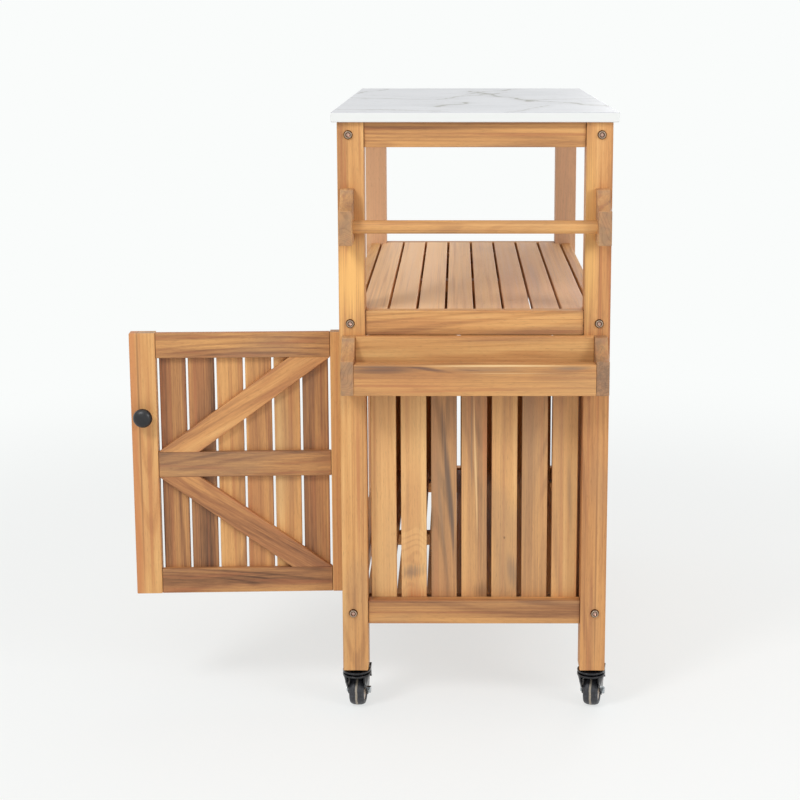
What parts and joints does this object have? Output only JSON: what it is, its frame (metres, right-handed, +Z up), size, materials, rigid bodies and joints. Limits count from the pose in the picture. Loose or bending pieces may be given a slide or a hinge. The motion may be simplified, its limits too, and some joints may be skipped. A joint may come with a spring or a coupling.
{
  "type": "bar cart",
  "caption": "Rolling timber bar cart with a marble-look top, open slatted shelf, slatted cabinet with braced doors, towel rail and spice rack.",
  "frame": {"origin": "the floor, under the middle of the box round the cart with the door beside the racks open", "axes": "+X along the cart towards the racks, -Y out of the door side, +Z up"},
  "size_m": [0.8986, 0.7516, 0.95],
  "materials": {
    "faux_marble": "white marble look, satin",
    "hidden_timber": "oiled acacia",
    "leg_timber": "oiled acacia",
    "long_rail_timber": "oiled acacia",
    "end_rail_timber": "oiled acacia",
    "shelf_timber": "oiled acacia",
    "panel_timber": "oiled acacia",
    "bracket_timber": "oiled acacia",
    "rod_timber": "oiled acacia",
    "rack_board_timber": "oiled acacia",
    "rack_floor_timber": "oiled acacia",
    "stile_timber": "oiled acacia",
    "door_rail_timber": "oiled acacia",
    "door_brace_timber": "oiled acacia",
    "door_slat_timber": "oiled acacia",
    "antique_bronze": "antique bronze plating",
    "zinc_steel": "zinc plated",
    "black_metal": "black plated steel",
    "black_knob": "satin black",
    "black_plastic": "moulded",
    "cream_plastic": "moulded nylon",
    "tyre": "polyurethane tread"
  },
  "bodies": {
    "cart": {"worktop": "faux_marble", "battens": "hidden_timber", "front_right_leg": "leg_timber", "back_right_leg": "leg_timber", "front_left_leg": "leg_timber", "back_left_leg": "leg_timber", "top_front_rail": "long_rail_timber", "top_back_rail": "long_rail_timber", "top_end_rails": "end_rail_timber", "middle_front_rail": "long_rail_timber", "middle_back_rail": "long_rail_timber", "middle_end_rails": "end_rail_timber", "bottom_front_rail": "long_rail_timber", "bottom_back_rail": "long_rail_timber", "bottom_end_rails": "end_rail_timber", "shelf_slats": "shelf_timber", "floor_slats": "shelf_timber", "right_panel_slats": "panel_timber", "left_panel_slats": "panel_timber", "back_panel_slats": "panel_timber", "center_post": "leg_timber", "frame_bolts": "antique_bronze", "cross_dowel_nuts": "zinc_steel", "leg_hinges": "black_metal", "magnetic_catches": "black_plastic", "rack_brackets": "bracket_timber", "towel_rod": "rod_timber", "spice_front_board": "rack_board_timber", "spice_floor_board": "rack_floor_timber", "spice_back_board": "rack_board_timber", "caster_stems": "black_metal"},
    "right_door": {"right_door_stiles": "stile_timber", "right_door_rails": "door_rail_timber", "right_door_braces": "door_brace_timber", "right_door_slats": "door_slat_timber", "right_door_knob": "black_knob", "right_door_hinges": "black_metal", "right_door_strike": "zinc_steel"},
    "left_door": {"left_door_stiles": "stile_timber", "left_door_rails": "door_rail_timber", "left_door_braces": "door_brace_timber", "left_door_slats": "door_slat_timber", "left_door_knob": "black_knob", "left_door_hinges": "black_metal", "left_door_strike": "zinc_steel"},
    "front_right_swivel": {"front_right_fork": "black_metal"},
    "front_right_wheel": {"front_right_hub": "cream_plastic", "front_right_tyre": "tyre"},
    "front_right_brake": {"front_right_pedal": "black_metal"},
    "back_right_swivel": {"back_right_fork": "black_metal"},
    "back_right_wheel": {"back_right_hub": "cream_plastic", "back_right_tyre": "tyre"},
    "back_right_brake": {"back_right_pedal": "black_metal"},
    "front_left_swivel": {"front_left_fork": "black_metal"},
    "front_left_wheel": {"front_left_hub": "cream_plastic", "front_left_tyre": "tyre"},
    "back_left_swivel": {"back_left_fork": "black_metal"},
    "back_left_wheel": {"back_left_hub": "cream_plastic", "back_left_tyre": "tyre"}
  },
  "joints": [
    {"name": "right_door_swing", "type": "hinge", "parent": "cart", "child": "right_door", "pos_m": [0.34655, -0.02172, 0.39725], "axis": [0, 0, 1], "range_deg": [-92.5, 5]},
    {"name": "left_door_swing", "type": "hinge", "parent": "cart", "child": "left_door", "pos_m": [-0.39805, -0.02172, 0.39725], "axis": [0, 0, -1], "range_deg": [0, 97.5]},
    {"name": "front_right_caster_swivel", "type": "hinge", "parent": "cart", "child": "front_right_swivel", "pos_m": [0.36925, -0.02672, 0.06], "axis": [0, 0, 1], "continuous": true},
    {"name": "front_right_wheel_spin", "type": "hinge", "parent": "front_right_swivel", "child": "front_right_wheel", "pos_m": [0.35334, -0.02505, 0.025], "axis": [0.1045, 0.9945, 0], "continuous": true},
    {"name": "front_right_brake_press", "type": "hinge", "parent": "front_right_swivel", "child": "front_right_brake", "pos_m": [0.33941, -0.02359, 0.05], "axis": [-0.1045, -0.9945, 0], "range_deg": [0, 12]},
    {"name": "back_right_caster_swivel", "type": "hinge", "parent": "cart", "child": "back_right_swivel", "pos_m": [0.36925, 0.34728, 0.06], "axis": [0, 0, 1], "continuous": true},
    {"name": "back_right_wheel_spin", "type": "hinge", "parent": "back_right_swivel", "child": "back_right_wheel", "pos_m": [0.35366, 0.35088, 0.025], "axis": [0.225, 0.9744, 0], "continuous": true},
    {"name": "back_right_brake_press", "type": "hinge", "parent": "back_right_swivel", "child": "back_right_brake", "pos_m": [0.34002, 0.35403, 0.05], "axis": [-0.225, -0.9744, 0], "range_deg": [0, 12]},
    {"name": "front_left_caster_swivel", "type": "hinge", "parent": "cart", "child": "front_left_swivel", "pos_m": [-0.42075, -0.02672, 0.06], "axis": [0, 0, 1], "continuous": true},
    {"name": "front_left_wheel_spin", "type": "hinge", "parent": "front_left_swivel", "child": "front_left_wheel", "pos_m": [-0.40495, -0.02923, 0.025], "axis": [-0.1564, -0.9877, 0], "continuous": true},
    {"name": "back_left_caster_swivel", "type": "hinge", "parent": "cart", "child": "back_left_swivel", "pos_m": [-0.42075, 0.34728, 0.06], "axis": [0, 0, 1], "continuous": true},
    {"name": "back_left_wheel_spin", "type": "hinge", "parent": "back_left_swivel", "child": "back_left_wheel", "pos_m": [-0.4051, 0.34395, 0.025], "axis": [-0.2079, -0.9781, 0], "continuous": true}
  ]
}
